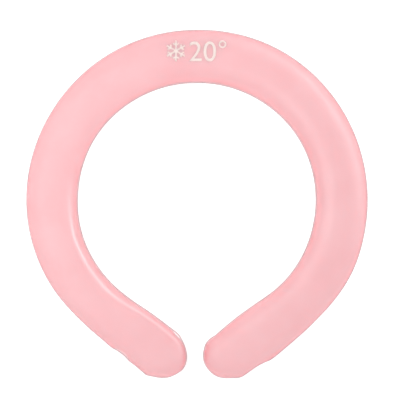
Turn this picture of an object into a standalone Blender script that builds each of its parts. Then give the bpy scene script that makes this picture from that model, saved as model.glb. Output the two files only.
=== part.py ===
# A cooling neck ring: a soft, open ring of two films that are welded round their outline and hold a gel.
# Metres, +Z up. The ring lies flat, with its closed side towards +Y and its two tips towards -Y.
# The origin is the middle of the ring's outer box, on the surface that the ring rests on.

from collections import namedtuple
from math import ceil, cos, pi, radians, sin

import bpy
from mathutils import Vector

# Driving sizes of the ring, seen from above
RING_RADIUS = 0.0724        # from the middle of the neck opening to the middle of the tube
ARM_SWEEP = radians(142)    # how far each arm bends round before it runs straight to its tip
LEFT_TIP_OFFSET = 0.0050    # from the plane through the middle of the ring to each tip
RIGHT_TIP_OFFSET = 0.0028
TUBE_WIDTH = 0.0255

# Driving sizes of the tube's section
UPPER_RISE = 0.0115         # from the weld up to the crown of the tube
LOWER_DROP = 0.0105         # from the weld down to the surface that the ring rests on
REST_STRIP = 0.008          # width of the flat strip underneath
EDGE_STAND = 0.0008         # how far a film stands straight up from the weld before it rounds over
ROUNDNESS = 2.2             # power of the section's curve: 2 is an ellipse, and more is squarer

# Films, weld and gel
FILM = 0.0008
WELD_PROUD = 0.0005         # how far the weld stands past the tube
WELD_THICKNESS = 0.0008
GAP = 0.0003                # left between pieces that touch

# How finely the shapes are faceted
ARC_STEP = 0.008            # along the bend of an arm
STRAIGHT_STEP = 0.004       # along its straight end, whose outline is less even
TIP_STEPS = 10              # round each tip
ARCH_STEPS = 4              # from the edge of a film up to its crown

# The outline of each arm, from the closed side at 0 to the start of the tip at 1. outer and inner are the
# tube's reach to each side of its middle, as shares of half the tube's width. The weld columns are the
# weld's reach past the tube on each side, as shares of WELD_PROUD, and crown is a share of UPPER_RISE.
ArmRow = namedtuple("ArmRow", "along outer inner weld_outer weld_inner crown")
LEFT_ARM = (
    ArmRow(0.000, 1.000, 1.020, 1.0, 1.0, 1.00),
    ArmRow(0.170, 1.005, 0.995, 1.0, 1.0, 1.00),
    ArmRow(0.340, 0.970, 0.950, 1.0, 1.0, 1.00),
    ArmRow(0.510, 0.985, 0.965, 1.0, 1.0, 1.00),
    ArmRow(0.620, 0.965, 0.957, 1.0, 1.0, 1.00),
    ArmRow(0.706, 0.915, 0.976, 1.0, 1.0, 1.00),
    ArmRow(0.800, 0.835, 0.998, 1.0, 1.0, 0.99),
    ArmRow(0.868, 0.865, 1.012, 1.0, 1.0, 0.98),
    ArmRow(0.892, 0.885, 1.040, 1.0, 1.0, 0.97),
    ArmRow(0.910, 0.800, 1.065, 2.2, 1.0, 0.96),
    ArmRow(0.930, 0.790, 1.080, 2.4, 1.0, 0.95),
    ArmRow(0.946, 0.880, 1.085, 1.2, 1.0, 0.94),
    ArmRow(0.965, 0.880, 1.090, 1.0, 1.0, 0.93),
    ArmRow(0.982, 0.893, 1.070, 1.0, 1.6, 0.92),
    ArmRow(1.000, 0.905, 0.955, 1.0, 4.6, 0.90),
)
RIGHT_ARM = (
    ArmRow(0.000, 1.000, 1.020, 1.0, 1.0, 1.00),
    ArmRow(0.168, 1.035, 1.008, 1.0, 1.0, 1.00),
    ArmRow(0.336, 1.008, 0.980, 1.0, 1.0, 1.00),
    ArmRow(0.449, 0.984, 0.988, 1.0, 1.0, 1.00),
    ArmRow(0.589, 0.969, 1.008, 1.0, 1.0, 1.00),
    ArmRow(0.673, 0.980, 1.008, 1.0, 1.0, 1.00),
    ArmRow(0.757, 0.914, 1.008, 1.0, 1.0, 0.99),
    ArmRow(0.794, 0.890, 1.015, 1.0, 1.0, 0.98),
    ArmRow(0.850, 0.935, 1.030, 1.0, 1.0, 0.97),
    ArmRow(0.886, 0.965, 1.055, 1.0, 1.0, 0.96),
    ArmRow(0.930, 0.980, 1.080, 1.0, 1.0, 0.95),
    ArmRow(0.948, 0.905, 1.080, 1.0, 1.0, 0.94),
    ArmRow(0.967, 0.850, 1.085, 1.0, 1.0, 0.93),
    ArmRow(1.000, 0.820, 1.067, 1.0, 1.0, 0.90),
)

# The outline of each tip, from its outer side at 0 degrees round its end to its inner side at 180, with the
# same shares. The arm's last row gives the two sides.
TipRow = namedtuple("TipRow", "turn reach weld")
LEFT_TIP = (
    TipRow(20, 0.830, 1.0),
    TipRow(40, 0.835, 1.0),
    TipRow(60, 0.878, 1.0),
    TipRow(80, 0.930, 1.0),
    TipRow(100, 1.015, 1.0),
    TipRow(120, 1.025, 1.0),
    TipRow(140, 1.016, 1.0),
    TipRow(160, 1.020, 1.2),
)
RIGHT_TIP = (
    TipRow(15, 0.815, 1.0),
    TipRow(40, 0.773, 1.0),
    TipRow(60, 0.838, 1.0),
    TipRow(80, 0.935, 1.0),
    TipRow(100, 1.010, 1.0),
    TipRow(120, 1.090, 1.0),
    TipRow(140, 1.118, 1.0),
    TipRow(160, 1.135, 1.0),
)

# One place on the outline: the number and point of the tube's middle line that it belongs to, the level
# direction out to it, the reach of the tube and of the weld that way, and the crown's share of its height.
Rib = namedtuple("Rib", "station middle direction reach weld crown")

# One half of the tube: which way it goes from the weld, how far, half the width of the flat strip at its
# crown, and whether the crown gets lower towards the tips.
Half = namedtuple("Half", "way height flat falls")
UPPER_HALF = Half(1, UPPER_RISE, 0, True)
LOWER_HALF = Half(-1, LOWER_DROP, REST_STRIP / 2, False)


def smooth_value(rows, key, value, at):
    """One column of a table at a place between its rows, on a smooth curve through them."""
    keys = [getattr(row, key) for row in rows]
    values = [getattr(row, value) for row in rows]
    after = max(next((i for i, k in enumerate(keys) if k >= at), len(keys) - 1), 1)
    slopes = []
    for i in (after - 1, after):
        low, high = max(i - 1, 0), min(i + 1, len(keys) - 1)
        slopes.append((values[high] - values[low]) / (keys[high] - keys[low]))
    width = keys[after] - keys[after - 1]
    t = (at - keys[after - 1]) / width
    return (
        values[after - 1] * (1 + 2 * t) * (1 - t) ** 2
        + slopes[0] * width * t * (1 - t) ** 2
        + values[after] * t * t * (3 - 2 * t)
        + slopes[1] * width * t * t * (t - 1)
    )


def middle_line(side, length):
    """A point of the tube's middle line at this length from the closed side, and the way it runs there."""
    turn = min(length / RING_RADIUS, ARM_SWEEP)
    run = Vector((side * cos(turn), -sin(turn), 0))
    bend = Vector((side * sin(turn), cos(turn), 0)) * RING_RADIUS
    return bend + run * max(length - RING_RADIUS * ARM_SWEEP, 0), run


def tip_shape(side, arm, tip):
    """Direction, reach and weld for each step round a tip, from its outer side to its inner side."""
    last = arm[-1]
    rows = (
        TipRow(0, last.outer, last.weld_outer),
        *tip,
        TipRow(180, last.inner, last.weld_inner),
    )
    _, run = middle_line(side, RING_RADIUS * ARM_SWEEP)
    outward = Vector((-side * run.y, side * run.x, 0))
    shape = []
    for step in range(TIP_STEPS + 1):
        turn = 180 * step / TIP_STEPS
        direction = outward * cos(radians(turn)) + run * sin(radians(turn))
        reach = TUBE_WIDTH / 2 * smooth_value(rows, "turn", "reach", turn)
        shape.append((direction, reach, WELD_PROUD * smooth_value(rows, "turn", "weld", turn)))
    return shape


def arm_ribs(side, offset, arm, tip):
    """The ribs of one arm: along its outer side, round its tip and along its inner side."""
    shape = tip_shape(side, arm, tip)
    tip_reach = max(-side * direction.x * (reach + weld) for direction, reach, weld in shape)
    straight = (RING_RADIUS * sin(ARM_SWEEP) - tip_reach - offset) / -cos(ARM_SWEEP)
    bend = RING_RADIUS * ARM_SWEEP
    bend_steps = ceil(bend / ARC_STEP)
    straight_steps = ceil(straight / STRAIGHT_STEP)
    lengths = [bend * step / bend_steps for step in range(bend_steps)]
    lengths += [bend + straight * step / straight_steps for step in range(straight_steps + 1)]
    outer_side, inner_side = [], []
    for number, length in enumerate(lengths):
        middle, run = middle_line(side, length)
        outward = Vector((-side * run.y, side * run.x, 0))
        row = ArmRow(
            length / lengths[-1],
            *(smooth_value(arm, "along", name, length / lengths[-1]) for name in ArmRow._fields[1:]),
        )
        sides = (
            (outer_side, outward, row.outer, row.weld_outer),
            (inner_side, -outward, row.inner, row.weld_inner),
        )
        for ribs_here, direction, reach, weld in sides:
            ribs_here.append(
                Rib(side * number, middle, direction, TUBE_WIDTH / 2 * reach, WELD_PROUD * weld, row.crown)
            )
    end = outer_side[-1]
    round_tip = [Rib(end.station, end.middle, *step, end.crown) for step in shape[1:-1]]
    return outer_side, round_tip, inner_side


def outline_ribs():
    """All ribs in one loop round the outline, against the clock seen from above."""
    left_outer, left_tip, left_inner = arm_ribs(-1, LEFT_TIP_OFFSET, LEFT_ARM, LEFT_TIP)
    right_outer, right_tip, right_inner = arm_ribs(1, RIGHT_TIP_OFFSET, RIGHT_ARM, RIGHT_TIP)
    return (
        left_outer[1:]
        + left_tip
        + left_inner[::-1]
        + right_inner[1:]
        + right_tip[::-1]
        + right_outer[::-1]
    )


def crown_height(rib, half, inset):
    return half.height * (rib.crown if half.falls else 1) - inset


def arch(rib, half, inset, foot):
    """The points of one rib from the tube's edge to its crown. A film's edge has a foot at this height."""
    reach = rib.reach - inset
    stand = WELD_THICKNESS / 2 + GAP + EDGE_STAND
    crown = crown_height(rib, half, inset)
    points = [rib.middle + rib.direction * reach + Vector((0, 0, half.way * foot))] if foot else []
    for step in range(ARCH_STEPS + (half.flat > 0)):
        turn = pi / 2 * step / ARCH_STEPS
        side = half.flat + (reach - half.flat) * abs(cos(turn)) ** (2 / ROUNDNESS)
        rise = stand + (crown - stand) * sin(turn) ** (2 / ROUNDNESS)
        points.append(rib.middle + rib.direction * side + Vector((0, 0, half.way * rise)))
    return points


def dome(ribs, half, inset=0, foot=0):
    """Points, faces and edge of one half of the tube, an open surface lofted from rib to rib."""
    crowns = {rib.station: rib for rib in ribs}
    points = [
        rib.middle + Vector((0, 0, half.way * crown_height(rib, half, inset))) for rib in crowns.values()
    ]
    crown_of = {station: number for number, station in enumerate(crowns)}
    arches = []
    for rib in ribs:
        rib_points = arch(rib, half, inset, foot)
        arches.append(range(len(points), len(points) + len(rib_points)))
        points += rib_points
    faces = []
    for number, here in enumerate(arches):
        following = (number + 1) % len(arches)
        there = arches[following]
        faces += [(here[i], there[i], there[i + 1], here[i + 1]) for i in range(len(here) - 1)]
        top = (here[-1], there[-1], crown_of[ribs[following].station], crown_of[ribs[number].station])
        faces.append(top[:3] if top[2] == top[3] else top)
    if half.way < 0:
        faces = [face[::-1] for face in faces]
    return points, faces, [here[0] for here in arches]


def add_mesh(name, points, faces, material):
    mesh = bpy.data.meshes.new(name)
    mesh.from_pydata(points, [], faces)
    mesh.materials.append(material)
    mesh.shade_smooth()
    piece = bpy.data.objects.new(name, mesh)
    neck_ring.objects.link(piece)
    return piece


def add_film(name, ribs, half, material):
    """One film: the open surface of half the tube, given its wall inwards."""
    points, faces, _ = dome(ribs, half, foot=WELD_THICKNESS / 2 + GAP)
    film = add_mesh(name, points, faces, material)
    wall = film.modifiers.new("wall", "SOLIDIFY")
    wall.thickness = FILM
    wall.offset = -1
    wall.use_even_offset = True
    return film


def add_gel(ribs, material):
    """The gel: both halves of the tube, drawn in from the films and joined at the weld's level."""
    points, faces, upper_edge = dome(ribs, UPPER_HALF, inset=FILM + GAP)
    lower_points, lower_faces, lower_edge = dome(ribs, LOWER_HALF, inset=FILM + GAP)
    first = len(points)
    faces += [tuple(first + corner for corner in face) for face in lower_faces]
    for number in range(len(ribs)):
        following = (number + 1) % len(ribs)
        below = first + lower_edge[number], first + lower_edge[following]
        faces.append((*below, upper_edge[following], upper_edge[number]))
    return add_mesh("gel_fill", points + lower_points, faces, material)


def add_weld(ribs, material):
    """The weld: a flat band between two closed outlines, level with the seam."""
    outline = bpy.data.curves.new("weld_rim", "CURVE")
    outline.dimensions = "2D"
    outline.fill_mode = "BOTH"
    outline.extrude = WELD_THICKNESS / 2
    outer = [rib.middle + rib.direction * (rib.reach + rib.weld) for rib in ribs]
    inner = [rib.middle + rib.direction * (rib.reach - FILM) for rib in ribs]
    for edge in (outer, inner):
        spline = outline.splines.new("POLY")
        spline.points.add(len(edge) - 1)
        for place, point in zip(spline.points, edge):
            place.co = (*point, 1)
        spline.use_cyclic_u = True
    outline.materials.append(material)
    band = bpy.data.objects.new("weld_rim", outline)
    neck_ring.objects.link(band)
    return band


def finish(name, colour, roughness, alpha=1):
    material = bpy.data.materials.new(name)
    material.use_nodes = True
    shader = material.node_tree.nodes["Principled BSDF"]
    shader.inputs["Base Color"].default_value = (*colour, 1)
    shader.inputs["Roughness"].default_value = roughness
    shader.inputs["Metallic"].default_value = 0
    shader.inputs["Alpha"].default_value = alpha
    return material


def middle_of(values):
    return (min(values) + max(values)) / 2


for leftover in list(bpy.data.objects):
    bpy.data.objects.remove(leftover)
neck_ring = bpy.data.collections.new("cooling neck ring")
bpy.context.scene.collection.children.link(neck_ring)

ribs = outline_ribs()
film_finish = finish("milky pink film", (0.91, 0.55, 0.56), 0.35)
weld_finish = finish("clear weld", (0.85, 0.72, 0.72), 0.25, 0.6)
gel_finish = finish("pink gel", (0.93, 0.45, 0.47), 0.3)
pieces = [
    add_film("upper_film", ribs, UPPER_HALF, film_finish),
    add_film("lower_film", ribs, LOWER_HALF, film_finish),
    add_weld(ribs, weld_finish),
    add_gel(ribs, gel_finish),
]

# The weld's edge is the widest part of the ring, so its box gives the place of the origin
rim = [rib.middle + rib.direction * (rib.reach + rib.weld) for rib in ribs]
for piece in pieces:
    piece.location = (
        -middle_of([point.x for point in rim]),
        -middle_of([point.y for point in rim]),
        LOWER_DROP,
    )
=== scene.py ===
# %% [markdown]
# # A cooling neck ring
# The real thing is a soft, open ring of plastic film, filled with a pink gel that is chilled before it is
# worn. Two films are welded flat round the whole outline, and the gel swells them into a tube. This script
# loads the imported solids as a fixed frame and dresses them: a gel with cloudy depth, two satin films over
# it, the clear weld and a small white print.

# %% Load the frame
from collections import namedtuple
from math import ceil, cos, pi, radians, sin, tau

import bmesh
import bpy
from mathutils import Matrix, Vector


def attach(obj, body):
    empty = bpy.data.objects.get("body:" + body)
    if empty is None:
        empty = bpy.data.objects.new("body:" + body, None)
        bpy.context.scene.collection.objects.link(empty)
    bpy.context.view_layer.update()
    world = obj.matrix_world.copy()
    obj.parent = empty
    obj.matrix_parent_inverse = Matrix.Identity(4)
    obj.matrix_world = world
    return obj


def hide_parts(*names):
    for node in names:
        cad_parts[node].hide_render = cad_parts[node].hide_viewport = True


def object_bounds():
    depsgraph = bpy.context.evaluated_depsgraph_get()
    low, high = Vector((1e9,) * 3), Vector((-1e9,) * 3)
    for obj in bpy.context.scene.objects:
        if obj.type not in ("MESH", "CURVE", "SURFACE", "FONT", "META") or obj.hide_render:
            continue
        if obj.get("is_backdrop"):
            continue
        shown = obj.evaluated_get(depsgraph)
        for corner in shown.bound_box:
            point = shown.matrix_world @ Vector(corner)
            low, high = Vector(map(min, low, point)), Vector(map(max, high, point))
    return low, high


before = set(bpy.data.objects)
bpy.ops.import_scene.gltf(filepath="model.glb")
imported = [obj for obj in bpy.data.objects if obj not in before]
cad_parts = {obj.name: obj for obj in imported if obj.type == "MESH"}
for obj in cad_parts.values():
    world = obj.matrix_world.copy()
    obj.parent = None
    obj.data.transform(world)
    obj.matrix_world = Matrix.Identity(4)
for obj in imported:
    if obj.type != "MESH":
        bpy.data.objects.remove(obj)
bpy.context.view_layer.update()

# %% [markdown]
# ## The plan of the ring
# Seen from above, each arm bends round on one arc and then runs straight to its tip. The same few sizes
# give the solids their shape, so the skin made here lies where they do. The tube isn't even: short tables
# give its reach to each side of its middle line, as shares of half its width, from the closed side of the
# ring at 0 to the start of each tip at 1. The weld's own reach past the tube is a share of its usual width.

# %% Sizes and tables
RING_RADIUS = 0.0724
ARM_SWEEP = radians(142)
LEFT_TIP_OFFSET = 0.0050
RIGHT_TIP_OFFSET = 0.0028
TUBE_WIDTH = 0.0255
UPPER_RISE = 0.0115
LOWER_DROP = 0.0105
REST_STRIP = 0.008
ROUNDNESS = 2.2
WELD_PROUD = 0.0005

ArmRow = namedtuple("ArmRow", "along outer inner weld_outer weld_inner crown")
LEFT_ARM = (
    ArmRow(0.000, 1.000, 1.020, 1.0, 1.0, 1.00),
    ArmRow(0.170, 1.005, 0.995, 1.0, 1.0, 1.00),
    ArmRow(0.340, 0.992, 0.950, 1.0, 1.0, 1.00),
    ArmRow(0.510, 0.996, 0.965, 1.0, 1.0, 1.00),
    ArmRow(0.620, 0.965, 0.957, 1.0, 1.0, 1.00),
    ArmRow(0.706, 0.915, 0.976, 1.0, 1.0, 1.00),
    ArmRow(0.800, 0.835, 0.998, 1.0, 1.0, 0.99),
    ArmRow(0.868, 0.865, 1.012, 1.0, 1.0, 0.98),
    ArmRow(0.898, 0.888, 1.045, 1.0, 1.0, 0.97),
    ArmRow(0.915, 0.800, 1.068, 2.2, 1.0, 0.96),
    ArmRow(0.935, 0.790, 1.081, 2.4, 1.0, 0.95),
    ArmRow(0.950, 0.880, 1.086, 1.2, 1.0, 0.94),
    ArmRow(0.965, 0.880, 1.090, 1.0, 1.0, 0.93),
    ArmRow(0.987, 0.895, 1.074, 1.0, 1.5, 0.92),
    ArmRow(1.000, 0.905, 0.985, 1.0, 3.8, 0.90),
)
RIGHT_ARM = (
    ArmRow(0.000, 1.000, 1.020, 1.0, 1.0, 1.00),
    ArmRow(0.168, 1.035, 1.008, 1.0, 1.0, 1.00),
    ArmRow(0.336, 1.008, 0.980, 1.0, 1.0, 1.00),
    ArmRow(0.449, 0.984, 0.988, 1.0, 1.0, 1.00),
    ArmRow(0.589, 0.969, 1.008, 1.0, 1.0, 1.00),
    ArmRow(0.673, 0.980, 1.008, 1.0, 1.0, 1.00),
    ArmRow(0.757, 0.914, 1.008, 1.0, 1.0, 0.99),
    ArmRow(0.794, 0.890, 1.015, 1.0, 1.0, 0.98),
    ArmRow(0.850, 0.935, 1.040, 1.0, 1.0, 0.97),
    ArmRow(0.886, 0.965, 1.076, 1.0, 1.0, 0.96),
    ArmRow(0.930, 0.980, 1.106, 1.0, 1.0, 0.95),
    ArmRow(0.948, 0.905, 1.102, 1.0, 1.0, 0.94),
    ArmRow(0.967, 0.850, 1.095, 1.0, 1.0, 0.93),
    ArmRow(1.000, 0.820, 1.067, 1.0, 1.0, 0.90),
)

TipRow = namedtuple("TipRow", "turn reach weld")
LEFT_TIP = (
    TipRow(20, 0.830, 1.0),
    TipRow(40, 0.835, 1.0),
    TipRow(60, 0.878, 1.0),
    TipRow(80, 0.930, 1.0),
    TipRow(100, 1.015, 1.0),
    TipRow(120, 1.025, 1.0),
    TipRow(140, 1.016, 1.0),
    TipRow(160, 1.020, 1.2),
)
RIGHT_TIP = (
    TipRow(15, 0.815, 1.0),
    TipRow(40, 0.773, 1.0),
    TipRow(60, 0.838, 1.0),
    TipRow(80, 0.935, 1.0),
    TipRow(100, 1.010, 1.0),
    TipRow(120, 1.090, 1.0),
    TipRow(140, 1.118, 1.0),
    TipRow(160, 1.135, 1.0),
)
print("rows:", len(LEFT_ARM), len(RIGHT_ARM), len(LEFT_TIP), len(RIGHT_TIP))

# %% [markdown]
# ## Ribs round the outline
# Every place on the outline is a rib: a point of the middle line, a level direction out to the edge, and
# how far the tube and its weld reach that way. Along an arm the ribs stand square to the middle line, and
# round a tip they fan out from its end, so the surface lofted over them has no pinched corner. The section
# grows squarer towards the tips, and the left arm has a marked shoulder on its inner side. The steps here
# are much finer than those of the solids.

# %% Ribs
STATION_STEP = 0.0011
TIP_STEPS = 48
PLUMPER_TIP = 0.5
PLUMP_FROM = 0.2
SHOULDER = 2.6
SHOULDER_FROM, SHOULDER_FULL = 0.84, 0.93
GATHERS_FROM = 0.86
Rib = namedtuple("Rib", "middle direction reach weld crown roundness gather")
RIB_NUMBERS = Rib._fields[2:]


def smooth_value(rows, key, value, at):
    """One column of a table at a place between its rows, on a smooth curve through them."""
    keys = [getattr(row, key) for row in rows]
    values = [getattr(row, value) for row in rows]
    after = max(next((i for i, k in enumerate(keys) if k >= at), len(keys) - 1), 1)
    slopes = []
    for i in (after - 1, after):
        low, high = max(i - 1, 0), min(i + 1, len(keys) - 1)
        slopes.append((values[high] - values[low]) / (keys[high] - keys[low]))
    width = keys[after] - keys[after - 1]
    t = (at - keys[after - 1]) / width
    return (
        values[after - 1] * (1 + 2 * t) * (1 - t) ** 2
        + slopes[0] * width * t * (1 - t) ** 2
        + values[after] * t * t * (3 - 2 * t)
        + slopes[1] * width * t * t * (t - 1)
    )


def middle_line(side, length):
    """A point of the middle line at this length from the closed side, and the way it runs there."""
    turn = min(length / RING_RADIUS, ARM_SWEEP)
    run = Vector((side * cos(turn), -sin(turn), 0))
    bend = Vector((side * sin(turn), cos(turn), 0)) * RING_RADIUS
    return bend + run * max(length - RING_RADIUS * ARM_SWEEP, 0), run


def tip_shape(side, arm, tip):
    """Direction, reach and weld for each step round a tip, from its outer side to its inner side."""
    last = arm[-1]
    rows = (TipRow(0, last.outer, last.weld_outer), *tip, TipRow(180, last.inner, last.weld_inner))
    _, run = middle_line(side, RING_RADIUS * ARM_SWEEP)
    outward = Vector((-side * run.y, side * run.x, 0))
    shape = []
    for step in range(TIP_STEPS + 1):
        turn = 180 * step / TIP_STEPS
        direction = outward * cos(radians(turn)) + run * sin(radians(turn))
        reach = TUBE_WIDTH / 2 * smooth_value(rows, "turn", "reach", turn)
        shape.append((direction, reach, WELD_PROUD * smooth_value(rows, "turn", "weld", turn)))
    return shape


def eased(value, low, high):
    """0 below low, 1 above high and a smooth rise between them."""
    t = min(max((value - low) / (high - low), 0), 1)
    return t * t * (3 - 2 * t)


def arm_ribs(side, offset, arm, tip):
    """The ribs of one arm: along its outer side, round its tip and along its inner side."""
    shape = tip_shape(side, arm, tip)
    tip_reach = max(-side * direction.x * (reach + weld) for direction, reach, weld in shape)
    straight = (RING_RADIUS * sin(ARM_SWEEP) - tip_reach - offset) / -cos(ARM_SWEEP)
    arm_length = RING_RADIUS * ARM_SWEEP + straight
    steps = ceil(arm_length / STATION_STEP)
    outer_side, inner_side = [], []
    for number in range(steps + 1):
        along = number / steps
        middle, run = middle_line(side, along * arm_length)
        outward = Vector((-side * run.y, side * run.x, 0))
        row = ArmRow(along, *(smooth_value(arm, "along", name, along) for name in ArmRow._fields[1:]))
        plump = ROUNDNESS + PLUMPER_TIP * eased(along, PLUMP_FROM, 1.0)
        shoulder = max(-side, 0) * SHOULDER * eased(along, SHOULDER_FROM, SHOULDER_FULL)
        sides = (
            (outer_side, outward, row.outer, row.weld_outer, plump),
            (inner_side, -outward, row.inner, row.weld_inner, plump + shoulder),
        )
        for ribs_here, direction, reach, weld, roundness in sides:
            reaches = TUBE_WIDTH / 2 * reach, WELD_PROUD * weld
            shape_here = row.crown, roundness, eased(along, GATHERS_FROM, 1.0)
            ribs_here.append(Rib(middle, direction, *reaches, *shape_here))
    end = outer_side[-1]
    round_tip = []
    for number, step in enumerate(shape[1:-1], 1):
        share = eased(number / TIP_STEPS, 0.5, 1.0)
        roundness = end.roundness + (inner_side[-1].roundness - end.roundness) * share
        round_tip.append(Rib(end.middle, *step, end.crown, roundness, end.gather))
    return outer_side, round_tip, inner_side


left_outer, left_tip, left_inner = arm_ribs(-1, LEFT_TIP_OFFSET, LEFT_ARM, LEFT_TIP)
right_outer, right_tip, right_inner = arm_ribs(1, RIGHT_TIP_OFFSET, RIGHT_ARM, RIGHT_TIP)
ribs = (
    left_outer[1:]
    + left_tip
    + left_inner[::-1]
    + right_inner[1:]
    + right_tip[::-1]
    + right_outer[::-1]
)


def middle_of(values):
    """Halfway between the lowest and the highest value."""
    return (min(values) + max(values)) / 2


rim = [rib.middle + rib.direction * (rib.reach + rib.weld) for rib in ribs]
ring_middle = Vector(
    (-middle_of([point.x for point in rim]), -middle_of([point.y for point in rim]), LOWER_DROP)
)
print(len(ribs), "ribs; middle of the ring in mm:", [round(1000 * value, 2) for value in ring_middle])

# %% [markdown]
# ## Helpers for node trees
# A geometry tree and a material are both graphs of small nodes. One helper adds a node and fills its
# sockets, with a plain value or with a link from another node, and a second one writes a sum as a node.

# %% Node helpers


def put(tree, kind, inputs=(), **settings):
    """Adds a node with these options. inputs maps a socket's name or number to a value or an output."""
    made = tree.nodes.new(kind)
    for name, value in settings.items():
        setattr(made, name, value)
    for key, value in dict(inputs).items():
        if isinstance(value, bpy.types.NodeSocket):
            tree.links.new(value, made.inputs[key])
        else:
            made.inputs[key].default_value = value
    return made


def calc(tree, operation, *values, **settings):
    """The result of one math node."""
    return put(tree, "ShaderNodeMath", enumerate(values), operation=operation, **settings).outputs[0]


def along_vector(tree, vector, amount):
    """A vector times a number."""
    return put(tree, "ShaderNodeVectorMath", {0: vector, "Scale": amount}, operation="SCALE").outputs[0]


def vector_sum(tree, *vectors):
    """The sum of some vectors."""
    total = vectors[0]
    for vector in vectors[1:]:
        total = put(tree, "ShaderNodeVectorMath", {0: total, 1: vector}, operation="ADD").outputs[0]
    return total


def blend(tree, factor, first, second):
    """A number between two others."""
    return put(tree, "ShaderNodeMix", {0: factor, 2: first, 3: second}, data_type="FLOAT").outputs[0]


def ramp(tree, value, low, high, to_low=0.0, to_high=1.0):
    """value between low and high, eased to a number between to_low and to_high."""
    mapped = put(
        tree,
        "ShaderNodeMapRange",
        {"Value": value, "From Min": low, "From Max": high, "To Min": to_low, "To Max": to_high},
        interpolation_type="SMOOTHSTEP",
    )
    return mapped.outputs["Result"]


def geometry_tree(name, sizes, target=None):
    """A geometry tree with a named input for each size, one for a material, and one for a target object."""
    tree = bpy.data.node_groups.new(name, "GeometryNodeTree")
    wanted = [("Geometry", "Geometry"), *((size, "Float") for size in sizes), ("Finish", "Material")]
    if target:
        wanted.append((target, "Object"))
    for label, kind in wanted:
        tree.interface.new_socket(label, in_out="INPUT", socket_type="NodeSocket" + kind)
    tree.interface.new_socket("Geometry", in_out="OUTPUT", socket_type="NodeSocketGeometry")
    return tree, tree.nodes.new("NodeGroupInput").outputs


def close_tree(tree, geometry, finish):
    """Ends a tree: instances made real, shaded smooth and given their finish."""
    real = put(tree, "GeometryNodeRealizeInstances", {"Geometry": geometry}).outputs[0]
    smooth = put(tree, "GeometryNodeSetShadeSmooth", {"Geometry": real}).outputs[0]
    done = put(tree, "GeometryNodeSetMaterial", {"Geometry": smooth, "Material": finish}).outputs[0]
    tree.links.new(done, tree.nodes.new("NodeGroupOutput").inputs[0])


def field(tree, name, kind="FLOAT"):
    """A named attribute of the geometry, read inside a tree."""
    read = put(tree, "GeometryNodeInputNamedAttribute", {"Name": name}, data_type=kind)
    return read.outputs["Attribute"]


def grow(sheet, tree, values):
    """Runs a tree on an object with these inputs and leaves a plain mesh in its place."""
    modifier = sheet.modifiers.new(tree.name, "NODES")
    modifier.node_group = tree
    for item in tree.interface.items_tree:
        if item.in_out == "INPUT" and item.name in values:
            modifier[item.identifier] = values[item.name]
    bpy.context.view_layer.update()
    return settle(sheet)


def settle(piece):
    """Replaces a piece's modifiers by the mesh that they make."""
    evaluated = piece.evaluated_get(bpy.context.evaluated_depsgraph_get())
    mesh = bpy.data.meshes.new_from_object(evaluated)
    mesh.name = piece.name
    piece.modifiers.clear()
    piece.data = mesh
    return piece


def new_material(name):
    """A material, its node tree and its main shader."""
    material = bpy.data.materials.new(name)
    material.use_nodes = True
    tree = material.node_tree
    return material, tree, tree.nodes["Principled BSDF"]


def cloud(tree, place, size, detail=2.0, roughness=0.5, shift=0.0):
    """A slow noise whose patches are about this size in metres."""
    made = put(
        tree,
        "ShaderNodeTexNoise",
        {"Vector": place, "W": shift, "Scale": 1 / size, "Detail": detail, "Roughness": roughness},
        noise_dimensions="4D",
    )
    return made.outputs[0]


def blend_colours(tree, factor, first, second):
    """Two colours mixed by a factor. Each is an output or three numbers."""
    colours = [(*c, 1) if isinstance(c, tuple) else c for c in (first, second)]
    made = put(tree, "ShaderNodeMix", {0: factor}, data_type="RGBA")
    for socket, colour in zip((made.inputs[6], made.inputs[7]), colours):
        if isinstance(colour, tuple):
            socket.default_value = colour
        else:
            tree.links.new(colour, socket)
    return made.outputs[2]


INNER_SIDE, OUTER_SIDE = 0.004, 0.008


def outer_side_ramp(tree, place, to_low, to_high):
    """A number that rises from the ring's inner side to its outer side."""
    ends = {0: place, 1: tuple(ring_middle)}
    far_out = put(tree, "ShaderNodeVectorMath", ends, operation="DISTANCE").outputs["Value"]
    return ramp(tree, far_out, RING_RADIUS - INNER_SIDE, RING_RADIUS + OUTER_SIDE, to_low, to_high)


print("node helpers ready")

# %% [markdown]
# ## The gel
# The gel gives the ring its colour. Chilled gel is cloudy: light goes in, spreads and comes out some
# millimetres away, which softens every edge. Subsurface scattering does that, and a slow noise varies the
# pink a little, as half-set gel does. Towards the weld the pink is painted deeper, most of all on the outer
# side: a painted glow for light seen through more gel at the edges, where the outer side gets more light.

# %% Gel finish
PINK, PALE_PINK, EDGE_GLOW_PINK = (0.92, 0.485, 0.515), (0.935, 0.545, 0.57), (1.0, 0.40, 0.44)
GEL_PATCH = 0.035
GEL_LUMP = 0.003
LIGHT_REACH = 0.0035

gel_finish, tree, shader = new_material("pink cooling gel")
place = put(tree, "ShaderNodeTexCoord").outputs["Object"]
climb = put(tree, "ShaderNodeAttribute", attribute_name="climb").outputs["Fac"]
patches = ramp(tree, cloud(tree, place, GEL_PATCH), 0.35, 0.65, 0.0, 0.8)
pink = blend_colours(tree, patches, PINK, PALE_PINK)
# Painted glow: near the weld, most of all on the outer side, the pink is deepened for light seen through more
# gel.
near_weld = ramp(tree, climb, 0.1, 0.5, 1.0, 0.0)
painted_edge_glow = calc(tree, "MULTIPLY", near_weld, outer_side_ramp(tree, place, 0.5, 1.0))
pink = blend_colours(tree, painted_edge_glow, pink, EDGE_GLOW_PINK)
tree.links.new(pink, shader.inputs["Base Color"])
lumps = cloud(tree, place, GEL_LUMP, detail=3.0, shift=9.0)
tree.links.new(ramp(tree, lumps, 0.3, 0.7, 0.45, 0.65), shader.inputs["Roughness"])
bump = put(tree, "ShaderNodeBump", {"Strength": 0.3, "Distance": 0.0002, "Height": lumps})
tree.links.new(bump.outputs[0], shader.inputs["Normal"])
shader.inputs["Subsurface Weight"].default_value = 1.0
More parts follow.
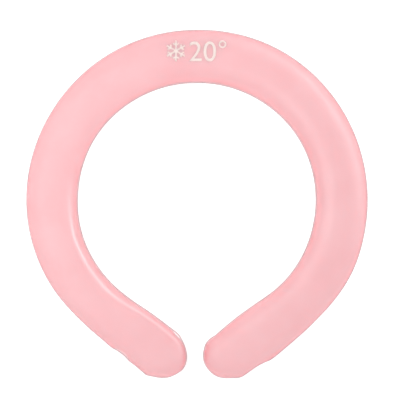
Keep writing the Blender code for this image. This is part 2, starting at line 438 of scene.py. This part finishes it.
shader.inputs["Subsurface Radius"].default_value = (1.0, 0.6, 0.6)
shader.inputs["Subsurface Scale"].default_value = LIGHT_REACH
print(gel_finish.name)

# %% [markdown]
# ## The film
# The film is clear plastic with a satin face. It adds a thin milky veil and soft highlights to the gel
# under it. The veil is an even alpha, so it stays simple to export, and the shine is turned up to make up
# for what the alpha takes from it. A fine grain and slow waves in the bump break up the highlights. The
# inner side shines more than the outer side in the photograph, so the roughness rises outwards.

# %% Film finish
VEIL, PALE_VEIL, EDGE_GLOW_VEIL = (0.925, 0.61, 0.635), (0.94, 0.65, 0.675), (1.0, 0.51, 0.54)
MILK_PATCH = 0.02
GRAIN = 0.0006
WAVE = 0.009
WAVE_SHARE = 4.0
VEIL_ALPHA = 0.35

film_finish, tree, shader = new_material("satin film")
place = put(tree, "ShaderNodeTexCoord").outputs["Object"]
climb = put(tree, "ShaderNodeAttribute", attribute_name="climb").outputs["Fac"]
milk = ramp(tree, cloud(tree, place, MILK_PATCH, shift=3.0), 0.3, 0.7)
veil = blend_colours(tree, milk, VEIL, PALE_VEIL)
# Painted glow: near the weld the veil turns a deeper pink, for light seen through more gel at the edges.
veil = blend_colours(tree, ramp(tree, climb, 0.12, 0.45, 1.0, 0.0), veil, EDGE_GLOW_VEIL)
tree.links.new(veil, shader.inputs["Base Color"])
grain = cloud(tree, place, GRAIN, detail=3.0, roughness=0.7)
waves = cloud(tree, place, WAVE, shift=5.0)
height = calc(tree, "MULTIPLY_ADD", waves, WAVE_SHARE, grain)
bump = put(tree, "ShaderNodeBump", {"Strength": 0.15, "Distance": 0.00005, "Height": height})
tree.links.new(bump.outputs[0], shader.inputs["Normal"])
matt = outer_side_ramp(tree, place, 0.0, 0.2)
satin = calc(tree, "ADD", ramp(tree, waves, 0.3, 0.7, 0.32, 0.4), matt)
tree.links.new(satin, shader.inputs["Roughness"])
shader.inputs["Alpha"].default_value = VEIL_ALPHA
shader.inputs["Specular IOR Level"].default_value = 1.0
shader.inputs["Coat Weight"].default_value = 0.25
shader.inputs["Coat Roughness"].default_value = 0.3
print(film_finish.name)

# %% [markdown]
# ## The tube's section as a node tree
# The gel and both films share one rule. A sheet of points holds, for each rib, what the plan gave, and for
# each row how far it climbs from the weld to the crown. The tree turns climb into a rounded section, merges
# the points where ribs meet on the middle line, and pushes the surface in and out: wide, shallow dents
# along the tube, and small gathers where the film bunches up round the tips.

# %% The sheet that a tree shapes
NEIGHBOURS = 9


def evened(values):
    """Each value of a closed loop replaced by the average of its neighbourhood."""
    count = 2 * NEIGHBOURS + 1
    return [
        sum(values[(number + step) % len(values)] for step in range(-NEIGHBOURS, NEIGHBOURS + 1)) / count
        for number in range(len(values))
    ]


def loft_sheet(name, rows, way, closed=False):
    """A grid of points with a column for each rib. rows holds a list of values, one for each row of points,
    under the name of the attribute that carries them. way is 1 if rows climb upwards, else -1."""
    row_count = len(next(iter(rows.values())))
    places = [rib.middle + rib.direction * rib.reach for rib in ribs for _ in range(row_count)]
    faces = []
    for column in range(len(ribs)):
        here, there = column * row_count, (column + 1) % len(ribs) * row_count
        for row in range(row_count if closed else row_count - 1):
            above = (row + 1) % row_count
            faces.append((here + row, there + row, there + above, here + above)[::way])
    mesh = bpy.data.meshes.new(name)
    mesh.from_pydata(places, [], faces)
    columns = {key: [getattr(rib, key) for rib in ribs] for key in RIB_NUMBERS}
    columns["run"] = [number / len(ribs) for number in range(len(ribs))]
    columns["calm"] = evened(columns["reach"])
    for key, values in columns.items():
        carried = mesh.attributes.new(key, "FLOAT", "POINT").data
        carried.foreach_set("value", [value for value in values for _ in range(row_count)])
    for key, values in rows.items():
        carried = mesh.attributes.new(key, "FLOAT", "POINT").data
        carried.foreach_set("value", list(values) * len(ribs))
    for key in ("middle", "direction"):
        carried = mesh.attributes.new(key, "FLOAT_VECTOR", "POINT").data
        parts = [part for rib in ribs for _ in range(row_count) for part in getattr(rib, key)]
        carried.foreach_set("vector", parts)
    sheet = bpy.data.objects.new(name, mesh)
    bpy.context.scene.collection.objects.link(sheet)
    return sheet


def spot_on_rib(tree, out, up):
    """The place this far out from the middle line along a point's rib, and this far above the weld."""
    return vector_sum(
        tree,
        field(tree, "middle", "FLOAT_VECTOR"),
        along_vector(tree, field(tree, "direction", "FLOAT_VECTOR"), out),
        put(tree, "ShaderNodeCombineXYZ", {"Z": up}).outputs[0],
        tuple(ring_middle),
    )


ARCH_STEPS = 18
stand_climbs = [-1.0, -0.5]
arch_climbs = [step / ARCH_STEPS for step in range(ARCH_STEPS + 1)]
strip_climbs = [1.33, 1.67, 2.0]
print("rows from weld to crown:", len(stand_climbs) + len(arch_climbs))

# %% The section's rule
EVEN_FROM = 0.35
SAME_SPOT = 0.000005
SECTION_SIZES = (
    "Height",
    "Way",
    "Flat strip",
    "Foot",
    "Stand",
    "Inset",
    "Level crown",
    "Dent depth",
    "Dent size",
    "Gather depth",
    "Gather count",
)
section_tree, given = geometry_tree("tube section", SECTION_SIZES)
tree = section_tree
climb = field(tree, "climb")
turn = calc(tree, "MULTIPLY", calc(tree, "ADD", climb, 0.0, use_clamp=True), pi / 2)
power = calc(tree, "DIVIDE", 2.0, field(tree, "roundness"))
level_share = calc(tree, "POWER", calc(tree, "MAXIMUM", calc(tree, "COSINE", turn), 0.0), power)
rise_share = calc(tree, "POWER", calc(tree, "SINE", turn), power)
strip = calc(tree, "MULTIPLY", given["Flat strip"], calc(tree, "SUBTRACT", 2.0, climb, use_clamp=True))
reach = blend(tree, ramp(tree, climb, 0.0, EVEN_FROM), field(tree, "reach"), field(tree, "calm"))
reach = calc(tree, "SUBTRACT", reach, given["Inset"])
out = calc(tree, "MULTIPLY_ADD", calc(tree, "SUBTRACT", reach, given["Flat strip"]), level_share, strip)
crown = calc(tree, "MAXIMUM", field(tree, "crown"), given["Level crown"])
top = calc(tree, "SUBTRACT", calc(tree, "MULTIPLY", given["Height"], crown), given["Inset"])
foot_drop = calc(tree, "SUBTRACT", given["Stand"], given["Foot"])
base = calc(tree, "MULTIPLY_ADD", calc(tree, "MINIMUM", climb, 0.0), foot_drop, given["Stand"])
up = calc(tree, "MULTIPLY_ADD", calc(tree, "SUBTRACT", top, given["Stand"]), rise_share, base)
spot = spot_on_rib(tree, out, calc(tree, "MULTIPLY", up, given["Way"]))
shaped = put(tree, "GeometryNodeSetPosition", {"Geometry": given["Geometry"], "Position": spot}).outputs[0]
joined = put(tree, "GeometryNodeMergeByDistance", {"Geometry": shaped, "Distance": SAME_SPOT}).outputs[0]
print("nodes for the section:", len(tree.nodes))

# %% Dents and gathers
GATHER_SWAY = 9.0
place = tree.nodes.new("GeometryNodeInputPosition").outputs[0]
pattern_scale = calc(tree, "DIVIDE", 1.0, given["Dent size"])
dents = cloud(tree, along_vector(tree, place, pattern_scale), 1.0, detail=1.0, shift=1.7)
off_weld = ramp(tree, climb, 0.0, 0.4)
dent = calc(tree, "MULTIPLY", calc(tree, "SUBTRACT", dents, 0.5), given["Dent depth"])
phase = calc(tree, "MULTIPLY", calc(tree, "MULTIPLY", field(tree, "run"), given["Gather count"]), tau)
gathers = calc(tree, "SINE", calc(tree, "MULTIPLY_ADD", dents, GATHER_SWAY, phase))
by_weld = calc(tree, "MULTIPLY", ramp(tree, climb, 0.0, 0.12), ramp(tree, climb, 0.15, 0.6, 1.0, 0.0))
gather = calc(tree, "MULTIPLY", calc(tree, "MULTIPLY", field(tree, "gather"), by_weld), gathers)
gather = calc(tree, "MULTIPLY", gather, given["Gather depth"])
resting = calc(tree, "MULTIPLY", given["Level crown"], ramp(tree, climb, 0.5, 0.95))
push = calc(tree, "MULTIPLY_ADD", dent, off_weld, gather)
push = calc(tree, "MULTIPLY", push, calc(tree, "SUBTRACT", 1.0, resting))
offset = along_vector(tree, tree.nodes.new("GeometryNodeInputNormal").outputs[0], push)
pushed = put(tree, "GeometryNodeSetPosition", {"Geometry": joined, "Offset": offset}).outputs[0]
close_tree(tree, pushed, given["Finish"])
print("nodes with dents and gathers:", len(tree.nodes))

# %% Films
WELD_THICKNESS = 0.0006
EDGE_GAP = 0.00005
FILM = 0.0005
FOOT = WELD_THICKNESS / 2 + EDGE_GAP
STAND = 0.0015
DENTS = {"Dent depth": 0.0006, "Dent size": 0.016, "Gather depth": 0.00012, "Gather count": 220.0}
UPPER = {"Height": UPPER_RISE, "Way": 1.0, "Flat strip": 0.0, "Level crown": 0.0}
LOWER = {"Height": LOWER_DROP, "Way": -1.0, "Flat strip": REST_STRIP / 2, "Level crown": 1.0}


def shape_half(name, climbs, half, foot, inset, finish):
    """One open half of the tube, above or below the weld."""
    sheet = loft_sheet(name, {"climb": climbs}, way=int(half["Way"]))
    sizes = {"Foot": foot, "Stand": STAND, "Inset": inset, "Finish": finish}
    return grow(sheet, section_tree, {**half, **DENTS, **sizes})


def make_film(name, climbs, half):
    """A film of even wall over one half of the tube."""
    film = shape_half(name, stand_climbs + climbs, half, FOOT, 0.0, film_finish)
    wall = film.modifiers.new("wall", "SOLIDIFY")
    wall.thickness = FILM
    wall.offset = -1
    wall.use_even_offset = True
    return settle(film)


film_over = make_film("film_over", arch_climbs, UPPER)
film_under = make_film("film_under", arch_climbs + strip_climbs, LOWER)
for film in (film_over, film_under):
    print(film.name, len(film.data.polygons), "faces")

# %% [markdown]
# The gel is the same section drawn in by the film's wall. Its two halves meet at the weld's level, where
# their edge points are merged into one closed body.

# %% Gel body


def make_gel():
    """The closed gel body, and how many of its edges are left open."""
    inset = FILM + EDGE_GAP
    halves = [
        shape_half("gel_over", [-1.0] + arch_climbs, UPPER, 0.0, inset, gel_finish),
        shape_half("gel_under", [-1.0] + arch_climbs + strip_climbs, LOWER, 0.0, inset, gel_finish),
    ]
    body = bmesh.new()
    for half in halves:
        body.from_mesh(half.data)
        bpy.data.objects.remove(half)
    bmesh.ops.remove_doubles(body, verts=body.verts, dist=SAME_SPOT)
    open_edges = sum(not edge.is_manifold for edge in body.edges)
    mesh = bpy.data.meshes.new("gel_body")
    body.to_mesh(mesh)
    body.free()
    mesh.materials.append(gel_finish)
    gel = bpy.data.objects.new("gel_body", mesh)
    bpy.context.scene.collection.objects.link(gel)
    return gel, open_edges


gel_body, open_edges = make_gel()
print("gel_body", len(gel_body.data.polygons), "faces,", open_edges, "open edges")

# %% [markdown]
# ## The weld
# Where the two films are pressed together they are clear, because no gel is left between them. From above
# the weld is a thin line round the outline, and at the left tip it widens into two small clear patches.
# The weld's outer edge is a small bead, painted grey as shade for the dark outline that the clear edge shows,
# and it widens with the weld. A second, smaller tree lays a flat band with a rounded outer edge along the
# same ribs.

# %% Weld finish
CLEAR, PRESSED, PAINTED_EDGE_SHADE = (0.95, 0.88, 0.88), (0.98, 0.93, 0.93), (0.62, 0.53, 0.54)
PRESS_PATCH = 0.0012
CLEAR_ALPHA, BEAD_ALPHA = 0.2, 0.7

weld_finish, tree, shader = new_material("clear weld")
place = put(tree, "ShaderNodeTexCoord").outputs["Object"]
press = cloud(tree, place, PRESS_PATCH, detail=3.0, shift=2.0)
edge = put(tree, "ShaderNodeAttribute", attribute_name="bead").outputs["Fac"]
tint_and_edge_shade = blend_colours(tree, ramp(tree, press, 0.3, 0.7), CLEAR, PRESSED)
# Painted shade: the bead is tinted grey and made more opaque to draw the dark outline of the clear edge.
tint_and_edge_shade = blend_colours(tree, edge, tint_and_edge_shade, PAINTED_EDGE_SHADE)
tree.links.new(tint_and_edge_shade, shader.inputs["Base Color"])
tree.links.new(calc(tree, "MULTIPLY_ADD", edge, BEAD_ALPHA, CLEAR_ALPHA), shader.inputs["Alpha"])
tree.links.new(ramp(tree, press, 0.3, 0.7, 0.12, 0.28), shader.inputs["Roughness"])
bump = put(tree, "ShaderNodeBump", {"Strength": 0.2, "Distance": 0.00005, "Height": press})
tree.links.new(bump.outputs[0], shader.inputs["Normal"])
shader.inputs["Specular IOR Level"].default_value = 0.8
print(weld_finish.name)

# %% The band's tree
BEAD_SPREAD = 0.3
band_tree, given = geometry_tree("weld band", ("Wall", "Thickness"))
tree = band_tree
half_thick = calc(tree, "MULTIPLY", given["Thickness"], 0.5)
turn = field(tree, "turn")
nose = calc(tree, "MULTIPLY", calc(tree, "SUBTRACT", calc(tree, "COSINE", turn), 1.0), half_thick)
proud = calc(tree, "ADD", calc(tree, "ADD", field(tree, "weld"), nose), given["Wall"])
inner_edge = calc(tree, "SUBTRACT", field(tree, "reach"), given["Wall"])
out = calc(tree, "MULTIPLY_ADD", proud, field(tree, "outer"), inner_edge)
spread = BEAD_SPREAD / WELD_PROUD, 1 - BEAD_SPREAD
widening = calc(tree, "MULTIPLY_ADD", field(tree, "weld"), *spread)
out = calc(tree, "SUBTRACT", out, calc(tree, "MULTIPLY", field(tree, "back"), widening))
lift = calc(tree, "MULTIPLY", calc(tree, "SINE", turn), half_thick)
spot = spot_on_rib(tree, out, lift)
band = put(tree, "GeometryNodeSetPosition", {"Geometry": given["Geometry"], "Position": spot}).outputs[0]
close_tree(tree, band, given["Finish"])
print("band tree nodes:", len(tree.nodes))

# %% Weld band
NOSE_STEPS = 6
BEAD = 0.0002
BEAD_END = BEAD * 1.5
nose_turns = [radians(-90 + 180 * step / NOSE_STEPS) for step in range(NOSE_STEPS + 1)]
under, over = radians(-90), radians(90)
band_rows = {
    "turn": [under, under, under] + nose_turns + [over, over, over],
    "outer": [0.0, 1.0, 1.0] + [1.0] * len(nose_turns) + [1.0, 1.0, 0.0],
    "back": [0.0, BEAD_END, BEAD] + [0.0] * len(nose_turns) + [BEAD, BEAD_END, 0.0],
    "bead": [0.0, 0.0, 1.0] + [1.0] * len(nose_turns) + [1.0, 0.0, 0.0],
}
weld_band = loft_sheet("weld_band", band_rows, way=1, closed=True)
grow(weld_band, band_tree, {"Wall": FILM, "Thickness": WELD_THICKNESS, "Finish": weld_finish})
print("weld_band", len(weld_band.data.polygons), "faces")

# %% [markdown]
# ## The print
# A plain mark in white ink sits on the closed side: a snowflake and a number of degrees. Ink is a thin
# even layer that follows the film, so the mark is drawn flat, cut into a fine grid, dropped on to the film
# by casting rays at it, and given a wall of its own.

# %% The mark, flat
MARK_HEIGHT = 0.0104
MARK_MIDDLE = Vector((-0.0004, 0.07435, 0))
FLAKE_GAP = 0.0020
FLAKE_HALF_STROKE = 0.00040
BRANCH_AT = 0.0029
BRANCH_LENGTH = 0.0017
BOLDNESS = 0.001
START_HEIGHT = 0.05


def flake_outline(radius, half_stroke, branch_at, branch_length):
    """A six-armed snowflake as one closed outline: one arm's outline, turned six times."""
    lean = radians(60)
    along, across = cos(lean), sin(lean)
    low, high = half_stroke * (1 - along) / across, half_stroke * (1 + along) / across
    right = [
        (half_stroke / sin(radians(30)) * cos(radians(30)), half_stroke),
        (branch_at + low * along - half_stroke * across, half_stroke),
        (
            branch_at + branch_length * along - half_stroke * across,
            branch_length * across + half_stroke * along,
        ),
        (
            branch_at + branch_length * along + half_stroke * across,
            branch_length * across - half_stroke * along,
        ),
        (branch_at + high * along + half_stroke * across, half_stroke),
        (radius, half_stroke),
    ]
    arm = right + [(out, -side) for out, side in right[:0:-1]]
    points = []
    for number in range(6):
        turn = radians(90 + 60 * number)
        for out, side in arm:
            points.append((out * cos(turn) + side * sin(turn), out * sin(turn) - side * cos(turn)))
    return points


def flat_mesh(curve):
    """A filled flat curve or text as a plain mesh."""
    carrier = bpy.data.objects.new(curve.name, curve)
    bpy.context.scene.collection.objects.link(carrier)
    bpy.context.view_layer.update()
    mesh = bpy.data.meshes.new_from_object(carrier.evaluated_get(bpy.context.evaluated_depsgraph_get()))
    bpy.data.objects.remove(carrier)
    return mesh


def extent(mesh, axis):
    """The lowest and highest value of a mesh along an axis."""
    values = [vertex.co[axis] for vertex in mesh.vertices]
    return min(values), max(values)


flake = bpy.data.curves.new("snowflake", "CURVE")
flake.dimensions = "2D"
flake.fill_mode = "BOTH"
outline = flake_outline(MARK_HEIGHT / 2, FLAKE_HALF_STROKE, BRANCH_AT, BRANCH_LENGTH)
spline = flake.splines.new("POLY")
spline.points.add(len(outline) - 1)
for point, (x, y) in zip(spline.points, outline):
    point.co = (x, y, 0, 1)
spline.use_cyclic_u = True
flake_mesh = flat_mesh(flake)

words = bpy.data.curves.new("numerals", "FONT")
words.body = "20°"
words.offset = BOLDNESS
words.resolution_u = 24
words_mesh = flat_mesh(words)
low, high = extent(words_mesh, 1)
words_scale = MARK_HEIGHT / (high - low)
for vertex in words_mesh.vertices:
    vertex.co *= words_scale

mark = bmesh.new()
mark.from_mesh(flake_mesh)
flake_low, flake_high = extent(flake_mesh, 0)
words_low, words_high = extent(words_mesh, 0)
words_foot = extent(words_mesh, 1)[0]
shift = Vector((flake_high + FLAKE_GAP - words_low, -MARK_HEIGHT / 2 - words_foot, 0))
for vertex in words_mesh.vertices:
    vertex.co += shift
mark.from_mesh(words_mesh)
mark_low, mark_high = flake_low, words_high + shift.x
for vertex in mark.verts:
    vertex.co += MARK_MIDDLE + ring_middle - Vector(((mark_low + mark_high) / 2, 0, 0))
    vertex.co.z = START_HEIGHT
print("mark in mm:", round(1000 * (mark_high - mark_low), 1), "by", round(1000 * MARK_HEIGHT, 1))

# %% The mark, on the film
GRID_STEP = 0.0006
INK_LIFT = 0.00002
INK_WALL = 0.00006
INK, PALE_INK = (0.74, 0.63, 0.595), (0.78, 0.68, 0.645)
SPECKLE = 0.0005


def cut_in_grid(mesh, step):
    """Cuts a flat mesh along evenly spaced lines both ways, so that it can bend."""
    for axis in (0, 1):
        values = [vertex.co[axis] for vertex in mesh.verts]
        at, last = min(values) + step, max(values)
        while at < last:
            point, normal = Vector((0, 0, 0)), Vector((0, 0, 0))
            point[axis], normal[axis] = at, 1
            parts = mesh.verts[:] + mesh.edges[:] + mesh.faces[:]
            bmesh.ops.bisect_plane(mesh, geom=parts, plane_co=point, plane_no=normal)
            at += step


bmesh.ops.remove_doubles(mark, verts=mark.verts, dist=0.000002)
cut_in_grid(mark, GRID_STEP)
bmesh.ops.recalc_face_normals(mark, faces=mark.faces)
if sum(face.normal.z for face in mark.faces) < 0:
    bmesh.ops.reverse_faces(mark, faces=mark.faces)
mark_mesh = bpy.data.meshes.new("printed_mark")
mark.to_mesh(mark_mesh)
mark.free()
printed_mark = bpy.data.objects.new("printed_mark", mark_mesh)
bpy.context.scene.collection.objects.link(printed_mark)

ink_finish, tree, shader = new_material("white print")
place = put(tree, "ShaderNodeTexCoord").outputs["Object"]
speckle = cloud(tree, place, SPECKLE, detail=2.0, shift=7.0)
ink_colour = blend_colours(tree, ramp(tree, speckle, 0.3, 0.7), INK, PALE_INK)
tree.links.new(ink_colour, shader.inputs["Base Color"])
tree.links.new(ramp(tree, speckle, 0.3, 0.7, 0.45, 0.6), shader.inputs["Roughness"])
bump = put(tree, "ShaderNodeBump", {"Strength": 0.2, "Distance": 0.00003, "Height": speckle})
tree.links.new(bump.outputs[0], shader.inputs["Normal"])

drop_tree, given = geometry_tree("drop on to the film", ("Lift",), target="Film")
tree = drop_tree
film_shape = put(tree, "GeometryNodeObjectInfo", {"Object": given["Film"]}).outputs["Geometry"]
ray = put(
    tree,
    "GeometryNodeRaycast",
    {"Target Geometry": film_shape, "Ray Direction": (0, 0, -1), "Ray Length": 0.1},
)
landed = vector_sum(
    tree, ray.outputs["Hit Position"], along_vector(tree, ray.outputs["Hit Normal"], given["Lift"])
)
dropped = put(tree, "GeometryNodeSetPosition", {"Geometry": given["Geometry"], "Position": landed}).outputs[0]
close_tree(tree, dropped, given["Finish"])
grow(printed_mark, drop_tree, {"Lift": INK_LIFT, "Film": film_over, "Finish": ink_finish})
wall = printed_mark.modifiers.new("ink", "SOLIDIFY")
wall.thickness = INK_WALL
wall.offset = 1
settle(printed_mark)
print("printed_mark", len(printed_mark.data.polygons), "faces")

# %% [markdown]
# ## Place in the frame
# Each piece rides on the one body of the model and stands for its solid. The films are filled until they
# stand up.

# %% Bodies and nodes
pieces = (
    (film_over, "upper_film", "film"),
    (film_under, "lower_film", "film"),
    (weld_band, "weld_rim", "weld"),
    (gel_body, "gel_fill", "gel"),
)
for piece, node, slot in pieces:
    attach(piece, "root")
    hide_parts(node)
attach(printed_mark, "root")

# %% [markdown]
# ## Floor, light and camera
# The ring lies on white paper. Three soft lights brighten it without a reflection of their own: a key close
# above its left side, a fill from the right and a low one from the front. Two more only shine on the film:
# a wide, low one on the right draws the pale streak along the inner slope of the left arm, and a window on
# the left gives the arms their soft sheen. The camera looks straight down.

# %% Floor
FLOOR_HALF = 3.0
FLOOR_DROP = 0.0002
PAPER_GLOW = 0.4
PAPER_FIBRE = 0.004

floor_mesh = bpy.data.meshes.new("floor")
corners = [(x * FLOOR_HALF, y * FLOOR_HALF, -FLOOR_DROP) for x, y in ((-1, -1), (1, -1), (1, 1), (-1, 1))]
floor_mesh.from_pydata(corners, [], [(0, 1, 2, 3)])
floor = bpy.data.objects.new("floor", floor_mesh)
bpy.context.scene.collection.objects.link(floor)
paper, tree, shader = new_material("white paper")
place = put(tree, "ShaderNodeTexCoord").outputs["Object"]
fibre = cloud(tree, place, PAPER_FIBRE, detail=4.0)
paper_colour = blend_colours(tree, fibre, (0.94, 0.94, 0.94), (0.97, 0.97, 0.97))
tree.links.new(paper_colour, shader.inputs["Base Color"])
tree.links.new(ramp(tree, fibre, 0.3, 0.7, 0.85, 0.95), shader.inputs["Roughness"])
bump = put(tree, "ShaderNodeBump", {"Strength": 0.1, "Distance": 0.0001, "Height": fibre})
tree.links.new(bump.outputs[0], shader.inputs["Normal"])
shader.inputs["Emission Color"].default_value = (1, 1, 1, 1)
shader.inputs["Emission Strength"].default_value = PAPER_GLOW
floor_mesh.materials.append(paper)
floor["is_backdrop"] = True

# %% Light
WORLD_STRENGTH = 0.78
LightRow = namedtuple("LightRow", "name azimuth elevation distance width height power shines")
LIGHTS = (
    LightRow("key", 158, 66, 0.30, 0.26, 0.26, 0.38, False),
    LightRow("fill", 35, 35, 0.5, 0.25, 0.25, 0.38, False),
    LightRow("front", 290, 14, 2.0, 1.2, 0.8, 6.0, False),
    LightRow("streak", 34, 20, 1.8, 2.4, 0.36, 35.0, True),
    LightRow("window", 185, 50, 1.5, 2.0, 1.5, 13.0, True),
)

world = bpy.data.worlds.new("studio")
world.use_nodes = True
background = world.node_tree.nodes["Background"]
background.inputs["Color"].default_value = (1, 0.99, 0.985, 1)
background.inputs["Strength"].default_value = WORLD_STRENGTH
bpy.context.scene.world = world


def soft_light(row):
    """A rectangular light at this compass place round the ring, in degrees from +X, turned towards it."""
    lamp = bpy.data.lights.new(row.name, "AREA")
    lamp.shape = "RECTANGLE"
    lamp.size, lamp.size_y = row.width, row.height
    lamp.energy = row.power
    light = bpy.data.objects.new(row.name, lamp)
    bpy.context.scene.collection.objects.link(light)
    turn, rise = radians(row.azimuth), radians(row.elevation)
    away = Vector((cos(rise) * cos(turn), cos(rise) * sin(turn), sin(rise)))
    light.location = away * row.distance
    light.rotation_euler = away.to_track_quat("Z", "Y").to_euler()
    light.visible_diffuse = not row.shines
    light.visible_glossy = row.shines
    light.visible_camera = False


for row in LIGHTS:
    soft_light(row)
print("lights:", [row.name for row in LIGHTS])

# %% Camera
CAMERA_HEIGHT = 1.2
SENSOR_WIDTH, LENS = 36, 216
PICTURE_MIDDLE = (0.0015178, 0.0020068)

camera_data = bpy.data.cameras.new("camera")
camera_data.sensor_width = SENSOR_WIDTH
camera_data.lens = LENS
camera = bpy.data.objects.new("camera", camera_data)
camera.location = (*PICTURE_MIDDLE, LOWER_DROP + CAMERA_HEIGHT)
bpy.context.scene.collection.objects.link(camera)
bpy.context.scene.camera = camera
bpy.context.scene.view_settings.view_transform = "Standard"

# %% Sizes and finish
low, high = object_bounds()
print("dressed box in mm:", [round(1000 * side, 1) for side in high - low])
